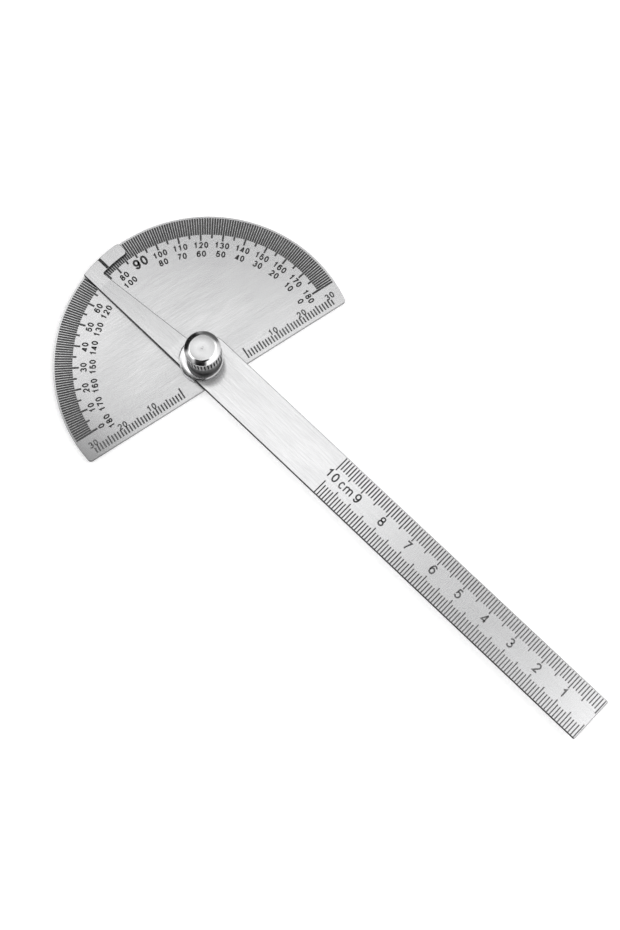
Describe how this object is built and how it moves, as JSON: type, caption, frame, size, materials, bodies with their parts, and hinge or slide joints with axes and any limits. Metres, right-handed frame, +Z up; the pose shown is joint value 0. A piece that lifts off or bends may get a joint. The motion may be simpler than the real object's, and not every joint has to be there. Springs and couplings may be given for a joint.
{
  "type": "protractor",
  "caption": "Steel protractor: round-topped head with a degree scale, swinging ruler arm with pointer and index tab, clamped at the pivot by a knurled thumb nut.",
  "frame": {"origin": "on the pivot axis, on the flat back face of the pivot stud's head, the lowest face", "axes": "+X along the straight base edge, +Y from the pivot to the top of the arc, +Z up towards the thumb nut"},
  "size_m": [0.0906, 0.1944, 0.015],
  "materials": {
    "head_steel": "satin stainless sheet, brushed along the base edge, graduations etched dark",
    "arm_steel": "satin stainless sheet, brushed along the arm, graduations etched dark",
    "turned_steel": "lathe-turned stainless steel",
    "washer_steel": "polished stainless steel",
    "nut_metal": "bright nickel-plated, crown disc brushed in circles"
  },
  "bodies": {
    "head": {"head_plate": "head_steel", "pivot_stud": "turned_steel"},
    "arm": {"ruler_arm": "arm_steel", "spacer_washer": "washer_steel"},
    "washer": {"top_washer": "washer_steel"},
    "nut": {"thumb_nut": "nut_metal"}
  },
  "joints": [
    {"name": "arm_swing", "type": "hinge", "parent": "head", "child": "arm", "pos_m": [0, 0, 0.003], "axis": [0, 0, 1], "range_deg": [-102.75, 77.25]},
    {"name": "nut_travel", "type": "slide", "parent": "head", "child": "washer", "axis": [0, 0, 1], "range_m": [0, 0.0014]},
    {"name": "nut_turn", "type": "hinge", "parent": "washer", "child": "nut", "pos_m": [0, 0, 0.01], "axis": [0, 0, 1], "range_deg": [0, 720]}
  ],
  "couplings": [
    {"joint": "nut_turn", "follows": "nut_travel", "rad_per_m": 8976}
  ]
}
